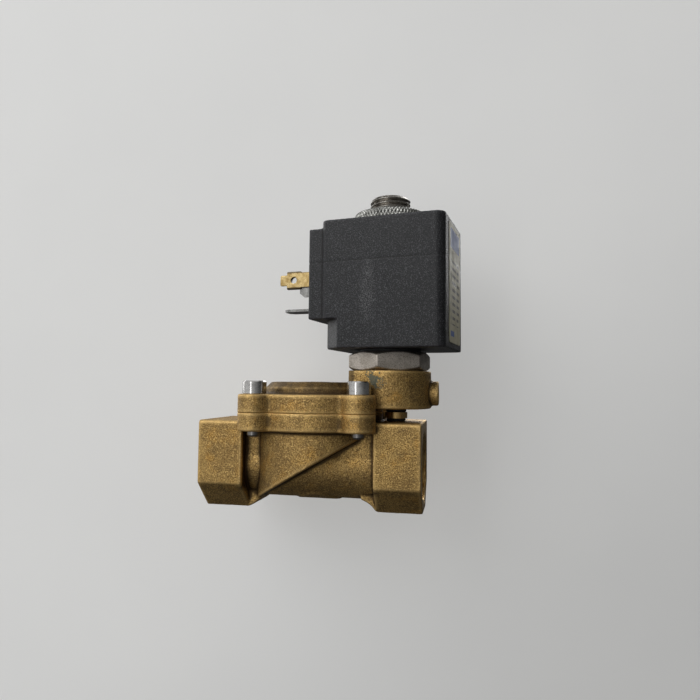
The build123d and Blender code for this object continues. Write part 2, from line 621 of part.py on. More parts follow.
def connector_insert():
    """Brass M3 insert for the plug's centre screw."""
    solid = along_x(INSERT_R, BLOCK_FACE_X, BLOCK_FACE_X + INSERT_LENGTH - 0.1, z=CONNECTOR_Z)
    solid -= along_x(INSERT_BORE_R, BLOCK_FACE_X - 1, BLOCK_FACE_X + INSERT_LENGTH - 1, z=CONNECTOR_Z)
    return COIL_FRAME * solid


def nameplate():
    """Thin label on the coil's side."""
    x = (COIL_X[1], COIL_X[1] + LABEL_THICKNESS)
    return COIL_FRAME * block(x, LABEL_Y, LABEL_Z)


def coil_gasket():
    """Flat rubber washer between hexagon and coil."""
    high = COIL_Z[0] - 0.03
    solid = upright(9.6, HEX_TOP_Z, high, TUBE_X)
    return solid - upright(TUBE_R + 0.05, HEX_TOP_Z - 1, high + 1, TUBE_X)


def nut_oring():
    """Seal carried in the nut's counterbore."""
    return ring(NUT_SEAL_R, NUT_SEAL_SECTION_R, COIL_Z[1] + 0.06, TUBE_X)


def coil_nut():
    """Ring nut with a counterbore for its seal, shown without its knurling."""
    low, high = NUT_Z
    bevel = 0.5
    seal_r = NUT_SEAL_R + NUT_SEAL_SECTION_R + 0.1
    seal_top = low + 0.8
    return turned([(NUT_BORE_R, seal_top), (seal_r, seal_top), (seal_r, low), (NUT_R - bevel, low),
                   (NUT_R, low + bevel), (NUT_R, high - bevel), (NUT_R - bevel, high),
                   (NUT_BORE_R + 0.6, high), (NUT_BORE_R, high - 0.6)], TUBE_X)


near_blade, far_blade, earth_blade = terminals()

SUB_PARTS = {
    "valve_body": valve_body(),
    "cover": cover(),
    "cover_screws": cover_screws(),
    "pilot_link": pilot_link(),
    "link_oring_lower": link_seal(END_HALF, LINK_COLLAR_Z[0]),
    "link_oring_upper": link_seal(LINK_COLLAR_Z[1], TURRET_BOTTOM_Z),
    "passage_plug": passage_plug(),
    "pilot_seat": pilot_seat(),
    "diaphragm": diaphragm(),
    "diaphragm_disc": diaphragm_disc(),
    "diaphragm_stem": diaphragm_stem(),
    "diaphragm_spring": diaphragm_spring(),
    "armature_tube": armature_tube(),
    "tube_oring": tube_oring(),
    "fixed_core": fixed_core(),
    "shading_ring": shading_ring(),
    "plunger": plunger(),
    "plunger_seal": plunger_seal(),
    "plunger_spring": plunger_spring(),
    "coil_body": coil_body(),
    "coil_bobbin": coil_bobbin(),
    "coil_winding": coil_winding(),
    "coil_yoke": coil_yoke(),
    "terminal_near": COIL_FRAME * near_blade,
    "terminal_far": COIL_FRAME * far_blade,
    "terminal_earth": COIL_FRAME * earth_blade,
    "spade_receptacle": spade_receptacle(),
    "connector_insert": connector_insert(),
    "nameplate": nameplate(),
    "coil_gasket": coil_gasket(),
    "nut_oring": nut_oring(),
    "coil_nut": coil_nut(),
}

os.makedirs("parts", exist_ok=True)
for node, solid in SUB_PARTS.items():
    export_step(solid, f"parts/{node}.step")
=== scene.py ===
import itertools
import math

import bpy
import numpy as np
from mathutils import Matrix, Vector, noise


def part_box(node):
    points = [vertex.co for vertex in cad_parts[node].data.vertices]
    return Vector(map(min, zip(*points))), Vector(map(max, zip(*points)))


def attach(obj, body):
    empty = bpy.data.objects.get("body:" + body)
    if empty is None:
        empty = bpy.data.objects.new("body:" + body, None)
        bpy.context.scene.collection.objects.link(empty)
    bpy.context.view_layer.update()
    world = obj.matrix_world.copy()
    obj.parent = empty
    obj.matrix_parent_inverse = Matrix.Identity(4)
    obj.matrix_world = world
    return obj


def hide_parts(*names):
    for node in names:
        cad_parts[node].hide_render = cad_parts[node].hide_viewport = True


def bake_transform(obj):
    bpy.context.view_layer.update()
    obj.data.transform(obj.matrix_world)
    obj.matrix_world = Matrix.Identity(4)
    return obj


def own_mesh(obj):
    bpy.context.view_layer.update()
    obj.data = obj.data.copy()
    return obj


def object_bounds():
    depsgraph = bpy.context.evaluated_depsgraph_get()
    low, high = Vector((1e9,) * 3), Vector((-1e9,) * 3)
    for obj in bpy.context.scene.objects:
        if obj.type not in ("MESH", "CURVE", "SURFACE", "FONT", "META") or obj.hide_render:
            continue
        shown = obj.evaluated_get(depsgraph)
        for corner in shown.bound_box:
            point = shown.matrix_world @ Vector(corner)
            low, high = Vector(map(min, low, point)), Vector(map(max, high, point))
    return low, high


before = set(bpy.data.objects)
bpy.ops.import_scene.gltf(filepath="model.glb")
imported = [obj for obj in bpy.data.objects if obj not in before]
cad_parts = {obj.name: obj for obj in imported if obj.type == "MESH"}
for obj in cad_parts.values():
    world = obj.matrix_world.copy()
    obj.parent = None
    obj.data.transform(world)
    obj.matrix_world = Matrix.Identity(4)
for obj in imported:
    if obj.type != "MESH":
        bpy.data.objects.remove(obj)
cad_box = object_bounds()

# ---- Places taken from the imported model, in metres -----------------------------------------
MM = 0.001
BODY_LOW, BODY_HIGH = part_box("valve_body")
TUBE_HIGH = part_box("armature_tube")[1]
STUD_LOW, STUD_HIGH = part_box("fixed_core")
NUT_LOW, NUT_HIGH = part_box("coil_nut")
SPLIT_Z = BODY_HIGH.z                      # gasket plane between body and cover
TUBE_X = (STUD_LOW.x + STUD_HIGH.x) / 2    # axis of tube, coil, nut and stud
COIL_TURN = math.radians(-8.98)            # the coil's turn about that axis at rest
MOULD_LINE_Z = 61.5                        # mm, parting line of the coil's moulding

# ---- Camera: place and aim of the viewing eye, in the part's own frame -----------------------
EYE_AZIMUTH = math.radians(10.92)
EYE_ELEVATION = math.radians(-3.68)
EYE_TARGET = Vector((10.02 * MM, 0, 35.6 * MM))
EYE_DISTANCE = 186.2 * MM
EYE_ROLL = math.radians(0.54)
EYE_LENS = 30.2
BACK = Vector((
    math.sin(EYE_AZIMUTH) * math.cos(EYE_ELEVATION),
    -math.cos(EYE_AZIMUTH) * math.cos(EYE_ELEVATION),
    math.sin(EYE_ELEVATION),
))
RIGHT = Vector((math.cos(EYE_AZIMUTH), math.sin(EYE_AZIMUTH), 0))
UP = BACK.cross(RIGHT)


# ---- Node materials --------------------------------------------------------------------------
class Look:
    """A node material under construction, with short names for the nodes it uses."""

    def __init__(self, name, metallic=0.0, roughness=0.5):
        self.material = bpy.data.materials.new(name)
        self.material.use_nodes = True
        self.tree = self.material.node_tree
        self.shader = self.tree.nodes["Principled BSDF"]
        self.shader.inputs["Metallic"].default_value = metallic
        self.shader.inputs["Roughness"].default_value = roughness
        self.place = self.add("ShaderNodeTexCoord").outputs["Object"]

    def add(self, kind, **settings):
        node = self.tree.nodes.new(kind)
        for key, value in settings.items():
            setattr(node, key, value)
        return node

    def feed(self, socket, value):
        """Links an output to a socket, or sets the socket's own value."""
        if isinstance(value, bpy.types.NodeSocket):
            self.tree.links.new(value, socket)
        else:
            socket.default_value = value

    def set(self, name, value):
        if isinstance(value, tuple) and len(value) == 3:
            value = (*value, 1.0)
        self.feed(self.shader.inputs[name], value)

    def current(self, name):
        """What now drives one of the shader's inputs, so that a later layer can be put over it."""
        return self.shader.inputs[name].links[0].from_socket

    def noise(self, size_mm, detail=2.0, roughness=0.5, place=None):
        """Cloud noise, 0 to 1, with blobs of about size_mm."""
        node = self.add("ShaderNodeTexNoise")
        self.feed(node.inputs["Vector"], place or self.place)
        node.inputs["Scale"].default_value = 1.0 / (size_mm * MM)
        node.inputs["Detail"].default_value = detail
        node.inputs["Roughness"].default_value = roughness
        return node.outputs["Fac"]

    def stretched(self, x, y, z):
        """The object's coordinates scaled on each axis, for streaks."""
        node = self.add("ShaderNodeMapping")
        self.feed(node.inputs["Vector"], self.place)
        node.inputs["Scale"].default_value = (x, y, z)
        return node.outputs["Vector"]

    def axes(self):
        node = self.add("ShaderNodeSeparateXYZ")
        self.feed(node.inputs[0], self.place)
        return node.outputs

    def attribute(self, name):
        return self.add("ShaderNodeAttribute", attribute_name=name).outputs["Fac"]

    def math(self, operation, a, b=0.0):
        node = self.add("ShaderNodeMath", operation=operation)
        self.feed(node.inputs[0], a)
        self.feed(node.inputs[1], b)
        return node.outputs[0]

    def product(self, first, *others):
        for other in others:
            first = self.math("MULTIPLY", first, other)
        return first

    def gap(self, a, b):
        """How far apart two values are."""
        return self.math("ABSOLUTE", self.math("SUBTRACT", a, b))

    def span(self, value, low, high, out_low=0.0, out_high=1.0):
        """Maps low..high to out_low..out_high, smoothly and clamped."""
        node = self.add("ShaderNodeMapRange", interpolation_type="SMOOTHSTEP")
        for socket, given in zip(node.inputs, (value, low, high, out_low, out_high)):
            self.feed(socket, given)
        return node.outputs[0]

    def mix(self, factor, a, b):
        """Colour a where factor is 0 and colour b where it is 1."""
        node = self.add("ShaderNodeMix", data_type="RGBA", clamp_factor=True)
        self.feed(node.inputs[0], factor)
        for socket, value in ((node.inputs[6], a), (node.inputs[7], b)):
            self.feed(socket, (*value, 1.0) if isinstance(value, tuple) and len(value) == 3 else value)
        return node.outputs[2]

    def bump(self, height, depth_mm, strength=1.0):
        """Adds a bump whose full height is about depth_mm."""
        node = self.add("ShaderNodeBump")
        node.inputs["Strength"].default_value = strength
        node.inputs["Distance"].default_value = depth_mm * MM
        self.feed(node.inputs["Height"], height)
        previous = self.shader.inputs["Normal"]
        if previous.links:
            self.feed(node.inputs["Normal"], previous.links[0].from_socket)
        self.feed(previous, node.outputs["Normal"])


CAST_METALLIC = 0.9


def cast_brass(name):
    """Sand-cast brass: mottled brown patina, golden on worn edges, painted shade in recesses, grainy."""
    look = Look(name, metallic=CAST_METALLIC)
    cavity = look.attribute("cavity")
    patches = look.noise(9.0, 4.0, 0.6)
    stains = look.noise(3.2, 3.0, 0.6)
    warmth = look.noise(5.0, 2.0, 0.5)
    grain = look.noise(0.30, 2.0, 0.7)
    specks = look.noise(0.42, 1.0, 0.5)
    colour = look.mix(look.span(patches, 0.36, 0.66), (0.34, 0.215, 0.078), (0.53, 0.345, 0.120))
    colour = look.mix(look.span(warmth, 0.50, 0.72, 0.0, 0.65), colour, (0.58, 0.325, 0.080))
    colour = look.mix(look.span(stains, 0.50, 0.72, 0.0, 0.60), colour, (0.19, 0.125, 0.056))
    colour = look.mix(look.span(grain, 0.46, 0.60, 0.0, 0.82), colour, (0.125, 0.078, 0.032))
    colour = look.mix(look.span(specks, 0.54, 0.68, 0.0, 0.60), colour, (0.80, 0.55, 0.21))
    # painted shade: the hollows darkened to near black
    colour = look.mix(look.span(cavity, 0.04, 0.75, 0.0, 0.88), colour, (0.050, 0.031, 0.015))
    colour = look.mix(look.span(cavity, -0.12, -0.75, 0.0, 0.55), colour, (0.74, 0.51, 0.21))
    look.set("Base Color", colour)
    look.set("Roughness", look.span(grain, 0.3, 0.7, 0.40, 0.62))
    look.bump(grain, 0.13, 0.75)
    look.bump(look.noise(1.3, 2.0, 0.5), 0.12, 0.5)
    return look


def machined_brass(name):
    """Turned brass with faint tool marks."""
    look = Look(name, metallic=1.0)
    marks = look.noise(0.25, 2.0, 0.5, look.stretched(1.0, 0.15, 0.15))
    tarnish = look.noise(2.5, 3.0, 0.6)
    look.set("Base Color", look.mix(look.span(tarnish, 0.35, 0.7), (0.64, 0.45, 0.19), (0.42, 0.27, 0.10)))
    look.set("Roughness", look.span(marks, 0.3, 0.7, 0.26, 0.42))
    look.bump(marks, 0.02, 0.4)
    return look


def folded_brass(name):
    """Thin pressed brass: pale gold faces, with painted shade in the folds and along the curled wings."""
    look = Look(name, metallic=1.0)
    tarnish = look.noise(1.4, 3.0, 0.6)
    colour = look.mix(look.span(tarnish, 0.35, 0.7), (0.46, 0.35, 0.17), (0.27, 0.185, 0.07))
    # painted shade in the folds
    fold_shade = look.span(look.attribute("cavity"), 0.0, 0.35, 0.0, 0.95)
    colour = look.mix(fold_shade, colour, (0.035, 0.022, 0.010))
    # painted shade: dark bands near the top and bottom edges, where the wings curl
    low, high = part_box("spade_receptacle")
    from_middle = look.gap(look.axes()[2], (low.z + high.z) / 2)
    edge = (high.z - low.z) / 2
    wing_shade = look.span(from_middle, edge - 0.75 * MM, edge - 0.45 * MM, 0.0, 0.85)
    colour = look.mix(wing_shade, colour, (0.055, 0.042, 0.028))
    look.set("Base Color", colour)
    look.set("Roughness", look.span(tarnish, 0.3, 0.7, 0.24, 0.42))
    look.bump(look.noise(0.3, 2.0, 0.6), 0.03, 0.5)
    return look


def steel(name, light, dark, roughness, grain_mm=0.35, streak=(1, 1, 1), depth_mm=0.02, speck=0.35):
    """Bare or plated steel: two tones in soft patches, and a grain or streaks in the finish."""
    look = Look(name, metallic=1.0)
    patches = look.noise(3.0, 3.0, 0.6)
    grain = look.noise(grain_mm, 2.0, 0.6, look.stretched(*streak))
    colour = look.mix(look.span(patches, 0.35, 0.68), light, dark)
    colour = look.mix(look.span(grain, 0.48, 0.68, 0.0, speck), colour, tuple(0.5 * v for v in dark))
    look.set("Base Color", colour)
    look.set("Roughness", look.span(grain, 0.25, 0.75, roughness * 0.8, roughness * 1.25))
    look.bump(grain, depth_mm, 0.6)
    return look


def darkened_below(look, height_mm):
    """Darker colour and higher roughness on the part of a piece that lies below a height."""
    colour = look.current("Base Color")
    low = look.span(look.axes()[2], (height_mm + 1) * MM, (height_mm - 1) * MM, 0.0, 0.8)
    look.set("Base Color", look.mix(low, colour, (0.10, 0.095, 0.090)))
    look.set("Roughness", look.math("ADD", look.product(low, 0.2), 0.15))


SCUFF_X = -5.6              # mm from the tube's axis to the pale scuffed band


def coil_plastic(name):
    """Charcoal moulded plastic: spark-eroded grain, pale dust and a scuffed band, with painted shade along
    the parting line and in hollows and a painted highlight on edges.
    """
    look = Look(name)
    x, _, z = look.axes()
    grain = look.noise(0.26, 2.0, 0.6)
    specks = look.noise(0.30, 1.0, 0.5)
    dust = look.noise(7.0, 4.0, 0.6)
    colour = look.mix(look.span(dust, 0.35, 0.75), (0.0070, 0.0075, 0.0088), (0.0105, 0.0110, 0.0126))
    colour = look.mix(look.span(specks, 0.53, 0.67, 0.0, 0.9), colour, (0.066, 0.067, 0.073))
    wander = look.span(dust, 0.3, 0.7, -1.5 * MM, 1.5 * MM)
    scuff = look.span(look.gap(x, look.math("ADD", wander, TUBE_X + SCUFF_X * MM)), 3.2 * MM, 0.0)
    scuff_low = look.span(z, 40 * MM, 48 * MM)
    scuff_high = look.span(z, (MOULD_LINE_Z + 2) * MM, 58 * MM)
    broken = look.span(look.noise(0.30, 2.0, 0.7), 0.42, 0.66)
    haze = look.product(scuff, look.product(scuff_low, scuff_high), broken, 0.62)
    colour = look.mix(haze, colour, (0.15, 0.15, 0.155))
    # painted shade along the parting-line groove, broken into stretches
    line = look.span(look.gap(z, MOULD_LINE_Z * MM), 0.26 * MM, 0.08 * MM)
    patchy = look.span(look.noise(3.0, 2.0, 0.6), 0.36, 0.48)
    colour = look.mix(look.product(line, patchy, 0.9), colour, (0.003, 0.003, 0.003))
    # painted shade in hollows and a painted highlight on convex edges
    cavity = look.attribute("cavity")
    colour = look.mix(look.span(cavity, 0.04, 0.30, 0.0, 0.85), colour, (0.003, 0.003, 0.003))
    colour = look.mix(look.span(cavity, -0.10, -0.40, 0.0, 0.35), colour, (0.050, 0.050, 0.055))
    look.set("Base Color", colour)
    look.set("Specular IOR Level", 0.31)
    look.set("Roughness", look.span(grain, 0.3, 0.7, 0.32, 0.54))
    look.bump(grain, 0.10, 0.8)
    look.bump(specks, 0.08, 0.6)
    return look


def rubber(name):
    """Black nitrile with a dusty bloom."""
    look = Look(name)
    bloom = look.noise(1.2, 3.0, 0.6)
    colour = look.mix(look.span(bloom, 0.4, 0.75), (0.012, 0.012, 0.012), (0.035, 0.034, 0.032))
    look.set("Base Color", colour)
    look.set("Roughness", look.span(bloom, 0.3, 0.7, 0.55, 0.75))
    look.bump(look.noise(0.2, 2.0), 0.02, 0.4)
    return look


WIRE_PITCH = 0.3            # mm


def copper(name, wound):
    """Copper, with the fine ridges of layered wire where it is wound."""
    look = Look(name, metallic=1.0, roughness=0.3)
    tarnish = look.noise(1.6, 3.0, 0.6)
    look.set("Base Color", look.mix(look.span(tarnish, 0.4, 0.7), (0.80, 0.36, 0.20), (0.52, 0.20, 0.09)))
    if wound:
        ridges = look.math("SINE", look.product(look.axes()[2], math.tau / (WIRE_PITCH * MM)))
        look.bump(ridges, 0.08, 0.8)
    else:
        look.bump(tarnish, 0.02, 0.4)
    return look


LABEL_ROWS = 17             # rows of bars in the label's whole height
LABEL_ROW_HALF = 0.21       # half a bar's height, as a part of its row


def printed_label(name, low, high):
    """Cream film with a blue header band, rows of short dark bars and a blue foot mark: no lettering.

    Heights and widths on it run from 0 to 1."""
    look = Look(name)
    _, y, z = look.axes()
    up = look.math("DIVIDE", look.math("SUBTRACT", z, low.z), high.z - low.z)
    along = look.math("DIVIDE", look.math("SUBTRACT", y, low.y), high.y - low.y)

    def between(value, start, end, blur=0.005):
        return look.product(look.span(value, start, start + blur), look.span(value, end, end - blur))

    aged = look.noise(4.0, 3.0, 0.6)
    paper = look.mix(look.span(aged, 0.35, 0.7), (0.50, 0.465, 0.325), (0.40, 0.37, 0.25))
    in_row = look.math("COMPARE", look.math("FRACT", look.product(up, LABEL_ROWS)), 0.5)
    in_row.node.inputs[2].default_value = LABEL_ROW_HALF
    in_word = look.span(look.noise(1.9, 1.0, 0.5, look.stretched(1.0, 1.0, 0.05)), 0.42, 0.44)
    inside = between(along, 0.10, 0.90, 0.02)
    ink = look.product(in_row, in_word, inside, between(up, 0.145, 0.725))
    header = between(up, 0.785, 0.955)
    foot = look.product(between(up, 0.05, 0.10), look.span(along, 0.42, 0.41))
    blue = look.product(look.math("MAXIMUM", header, foot), inside)
    colour = look.mix(look.product(ink, 0.8), paper, (0.05, 0.05, 0.06))
    colour = look.mix(look.product(blue, 0.9), colour, (0.035, 0.10, 0.36))
    look.set("Base Color", colour)
    look.set("Roughness", look.span(aged, 0.3, 0.7, 0.40, 0.55))
    look.set("Specular IOR Level", 0.3)
    look.bump(aged, 0.03, 0.3)
    return look


# ---- Mesh tools -------------------------------------------------------------------------------
TINY = 1e-6                 # mm, keeps a division by a radius away from zero


def coordinates(mesh):
    co = np.empty(len(mesh.vertices) * 3)
    mesh.vertices.foreach_get("co", co)
    return co.reshape(-1, 3)


def add_object(name, mesh):
    obj = bpy.data.objects.new(name, mesh)
    bpy.context.scene.collection.objects.link(obj)
    return obj


def voxel_copy(node, name, voxel_mm):
    """A new object: the CAD node's shape rebuilt as an even mesh of small quads, in metres."""
    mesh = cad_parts[node].data.copy()
    obj = add_object(name, mesh)
    mesh.transform(Matrix.Scale(1 / MM, 4))
    modifier = obj.modifiers.new("voxels", "REMESH")
    modifier.mode = "VOXEL"
    modifier.voxel_size = voxel_mm
    modifier.adaptivity = 0.0
    graph = bpy.context.evaluated_depsgraph_get()
    graph.update()
    rebuilt = bpy.data.meshes.new_from_object(obj.evaluated_get(graph))
    obj.modifiers.clear()
    obj.data = rebuilt
    rebuilt.materials.clear()
    rebuilt.name = name
    rebuilt.transform(Matrix.Scale(MM, 4))
    return obj


def smoothed(co, edges, weight, steps):
    """Moves every point towards the mean of its neighbours, by its own weight, a number of times."""
    count = len(co)
    first, second = edges[:, 0], edges[:, 1]
    degree = np.maximum(np.bincount(edges.ravel(), minlength=count), 1)[:, None]
    for _ in range(steps):
        total = np.empty_like(co)
        for axis in range(3):
            total[:, axis] = np.bincount(first, co[second, axis], count)
            total[:, axis] += np.bincount(second, co[first, axis], count)
        co = co + 0.5 * weight[:, None] * (total / degree - co)
    return co


def vertex_normals(mesh):
    normals = np.empty(len(mesh.vertices) * 3)
    mesh.vertex_normals.foreach_get("vector", normals)
    return normals.reshape(-1, 3)


def noise_field(co, size_mm, shift):
    """Cloud noise, -1 to 1, at each point."""
    scale = 1.0 / (size_mm * MM)
    offset = Vector((shift, 2 * shift, 3 * shift))
    return np.array([noise.noise(Vector(p) * scale + offset) for p in co.tolist()])


CAVITY_UNIT = 0.25          # mm a point lies under its relaxed neighbours for a cavity of 1
BUMP_SHIFT = 7.3            # moves each layer of bumps to its own part of the noise


def soften(obj, weight, steps, bumps, cavity_steps=14):
    """Rounds an even mesh where weight is high, raises bumps on it and stores how hollow each point is.

    bumps is a list of (blob size, height) in millimetres."""
    mesh = obj.data
    edges = np.empty(len(mesh.edges) * 2, dtype=np.int64)
    mesh.edges.foreach_get("vertices", edges)
    edges = edges.reshape(-1, 2)
    co = smoothed(coordinates(mesh), edges, weight, steps)
    mesh.vertices.foreach_set("co", co.ravel())
    mesh.update()
    normals = vertex_normals(mesh)
    relaxed = smoothed(co, edges, np.ones(len(co)), cavity_steps)
    hollow = np.einsum("ij,ij->i", relaxed - co, normals) / (CAVITY_UNIT * MM)
    for index, (size_mm, height_mm) in enumerate(bumps):
        raised = noise_field(co, size_mm, BUMP_SHIFT * (index + 1)) * height_mm * MM
        co = co + normals * (raised * weight)[:, None]
    mesh.vertices.foreach_set("co", co.ravel())
    attribute = mesh.attributes.new("cavity", "FLOAT", "POINT")
    attribute.data.foreach_set("value", hollow.astype(np.float32))
    shade_smooth(mesh)
    mesh.update()


def shade_smooth(mesh):
    mesh.polygons.foreach_set("use_smooth", np.ones(len(mesh.polygons), dtype=bool))


def paint(obj, *looks):
    """Gives an object its materials, first slot first."""
    obj.data.materials.clear()
    for look in looks:
        obj.data.materials.append(look.material)


def face_centres(mesh):
    centres = np.empty(len(mesh.polygons) * 3)
    mesh.polygons.foreach_get("center", centres)
    return centres.reshape(-1, 3)


def fine(size_mm):
    """Voxel size for a rebuilt mesh: the given size, unchanged."""
    return size_mm * 1


def lathe(name, rows, columns, closed=False):
    """A mesh turned about its own Z axis, from rows of radius and height in mm.

    A row's radius is one number, or one for each column round the turn."""
    angle = np.arange(columns) * math.tau / columns
    points, faces, rings = [], [], []
    for radius, height in rows:
        if np.isscalar(radius) and radius == 0:
            rings.append([len(points)] * columns)
            points.append((0.0, 0.0, height * MM))
            continue
        rings.append(range(len(points), len(points) + columns))
        radii = np.broadcast_to(radius, columns) * MM
        points += [(r * math.cos(a), r * math.sin(a), height * MM) for r, a in zip(radii, angle)]
    pairs = list(zip(rings, rings[1:]))
    if closed:
        pairs.append((rings[-1], rings[0]))
    for low, high in pairs:
        for i in range(columns):
            j = (i + 1) % columns
            faces.append(list(dict.fromkeys((low[i], low[j], high[j], high[i]))))
    mesh = bpy.data.meshes.new(name)
    mesh.from_pydata(points, [], faces)
    shade_smooth(mesh)
    mesh.update()
    return add_object(name, mesh)


def crease(obj, degrees):
    """Shades smoothly, but keeps edges sharper than an angle sharp."""
    shade_smooth(obj.data)
    obj.data.set_sharp_from_angle(angle=math.radians(degrees))


def settle(obj, body, slot, replaced=(), *looks):
    """Puts a finished piece on its body with its materials, and hides the nodes it stands for; slot is not
    used.
    """
    paint(obj, *looks)
    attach(obj, body)
    if replaced:
        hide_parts(*replaced)


def about_tube(obj):
    """Moves a turned mesh from the Z axis to the axis of the tube."""
    obj.data.transform(Matrix.Translation((TUBE_X, 0, 0)))


def triangle_wave(phase):
    """0 at whole numbers, 1 half way between."""
    return 1 - np.abs(2 * (phase - np.floor(phase)) - 1)


# ---- Brass castings, in mm ----------------------------------------------------------------------
BODY_VOXEL = 0.32
COVER_VOXEL = 0.30
CAST_BUMPS = ((6.0, 0.07), (0.9, 0.035), (0.55, 0.03))
CAST_CAVITY_STEPS = 30
SOFTENING = 5               # passes that round a casting's edges
FLANGE_SOFTENING = 0.05     # weight of those passes beside the joint plane, which stays crisp
FLANGE_EDGE = 0.7
FACE_SOFTENING = 0.35       # weight on the machined end faces
FACE_EDGE = 0.5
SEAT_SOFTENING = 0.2        # weight round the tube's seat
SEAT_R = 9.0
INLET_SHOULDER_X = -20.3
OUTLET_SHOULDER_X = 19.5
END_HALF_WIDTH = 12.9       # where the painted corner shade ends, just inside a spanner end's sides
BORE_CLEAR_R = 11.05        # body hole that takes a thread sleeve
SLEEVE_GAP = 0.02           # between that hole and the sleeve
THREAD_MINOR_R = 9.316      # G1/2
THREAD_MAJOR_R = 10.478
THREAD_PITCH = 1.814
THREAD_DEPTH = 12.0
THREAD_RUNOUT = 1.5         # length over which the thread fades into the bore
THREAD_STEPS = 12           # rows in a pitch
THREAD_COLUMNS = 160
MOUTH_R = 10.71
MOUTH_DEPTH = 0.04          # of the sleeve's end under the spanner end's face
CHAMFER_DEPTH = 1.3
FIRST_ROW = 0.15            # depth of the thread's first row
BORE_MARGIN = 0.2           # round the sleeve's hole, kept as exact as the hole
TURNED_SKIN = 0.12          # a face no deeper than this belongs to the machined end


def body_casting(cast, machined):
    """The body with cast surfaces, plain holes for the thread sleeves and machined end faces."""
    obj = voxel_copy("valve_body", "body_casting", fine(BODY_VOXEL))
    mesh = obj.data
    co = coordinates(mesh) / MM
    low, high = BODY_LOW.x / MM, BODY_HIGH.x / MM
    depth = np.minimum(co[:, 0] - low, high - co[:, 0])
    radius = np.hypot(co[:, 1], co[:, 2])
    in_port = (depth < THREAD_DEPTH + BORE_MARGIN) & (radius < BORE_CLEAR_R)
    scale = np.where(in_port, BORE_CLEAR_R / np.maximum(radius, TINY), 1.0)
    co[:, 1] *= scale
    co[:, 2] *= scale
    mesh.vertices.foreach_set("co", (co * MM).ravel())
    weight = np.ones(len(co))
    weight[depth < FACE_EDGE] = FACE_SOFTENING
    weight[co[:, 2] > SPLIT_Z / MM - FLANGE_EDGE] = FLANGE_SOFTENING
    beside_port = (depth < THREAD_DEPTH + 3) & (radius < BORE_CLEAR_R + BORE_MARGIN)
    weight[in_port | beside_port] = 0.0
    soften(obj, weight, SOFTENING, CAST_BUMPS, CAST_CAVITY_STEPS)
    centres = face_centres(mesh) / MM
    face_depth = np.minimum(centres[:, 0] - low, high - centres[:, 0])
    in_bore = np.hypot(centres[:, 1], centres[:, 2]) < BORE_CLEAR_R + 0.1
    turned = (in_bore & (face_depth < THREAD_DEPTH + 1.5)) | (face_depth < TURNED_SKIN)
    settle(obj, "valve", "cast_brass", ["valve_body"], cast, machined)
    mesh.polygons.foreach_set("material_index", turned.astype(np.int32))


def port_thread(name, mouth_x, outward, machined):
    """Sleeve with one port's pipe thread and mouth chamfer, set in the body's hole."""
    turn = np.arange(THREAD_COLUMNS) / THREAD_COLUMNS
    sleeve_r = BORE_CLEAR_R - SLEEVE_GAP
    rows = [(THREAD_MINOR_R, -THREAD_DEPTH), (sleeve_r, -THREAD_DEPTH),
            (sleeve_r, -MOUTH_DEPTH), (MOUTH_R, -MOUTH_DEPTH)]
    for depth in np.arange(FIRST_ROW, THREAD_DEPTH - 0.05, THREAD_PITCH / THREAD_STEPS):
        groove = np.clip(1.3 * triangle_wave(depth / THREAD_PITCH + turn) - 0.15, 0, 1)  # flat crests
        groove *= np.clip((THREAD_DEPTH - depth) / THREAD_RUNOUT, 0, 1)
        threaded = THREAD_MINOR_R + (THREAD_MAJOR_R - THREAD_MINOR_R) * groove
        chamfer = MOUTH_R - depth * (MOUTH_R - THREAD_MINOR_R) / CHAMFER_DEPTH
        rows.append((np.maximum(threaded, chamfer), -depth))
    obj = lathe(name, rows, THREAD_COLUMNS, closed=True)
    obj.data.transform(Matrix(((0, 0, outward, mouth_x), (0, 1, 0, 0), (-outward, 0, 0, 0), (0, 0, 0, 1))))
    crease(obj, 50)
    settle(obj, "valve", "machined_brass", (), machined)


def cover_casting(cast):
    """The cover and its turret with cast surfaces."""
    obj = voxel_copy("cover", "cover_casting", fine(COVER_VOXEL))
    co = coordinates(obj.data) / MM
    weight = np.ones(len(co))
    weight[co[:, 2] < SPLIT_Z / MM + FLANGE_EDGE] = FLANGE_SOFTENING
    weight[np.hypot(co[:, 0] - TUBE_X / MM, co[:, 1]) < SEAT_R] *= SEAT_SOFTENING
    soften(obj, weight, SOFTENING, CAST_BUMPS, CAST_CAVITY_STEPS)
    settle(obj, "valve", "cast_brass", ["cover"], cast)


def corner_shade(look, shoulder_x, reach_mm, low_z):
    """Painted shade in the corner where the run meets a spanner end, strongest at the shoulder."""
    x, y, z = look.axes()
    uneven = look.span(look.noise(1.5, 3.0, 0.6), 0.3, 0.7, -0.4 * MM, 0.4 * MM)
    ragged = look.math("ADD", look.gap(x, shoulder_x), uneven)
    around = look.product(look.span(z, SPLIT_Z, SPLIT_Z - 1 * MM), look.span(z, low_z, low_z + 3 * MM))
    edge = END_HALF_WIDTH * MM
    inward = look.span(look.math("ABSOLUTE", y), edge, edge - 0.7 * MM)
    mask = look.product(look.span(ragged, reach_mm * MM, 0.2 * MM), look.product(around, inward), 0.85)
    # painted shade colour over the corner
    look.set("Base Color", look.mix(mask, look.current("Base Color"), (0.045, 0.027, 0.012)))


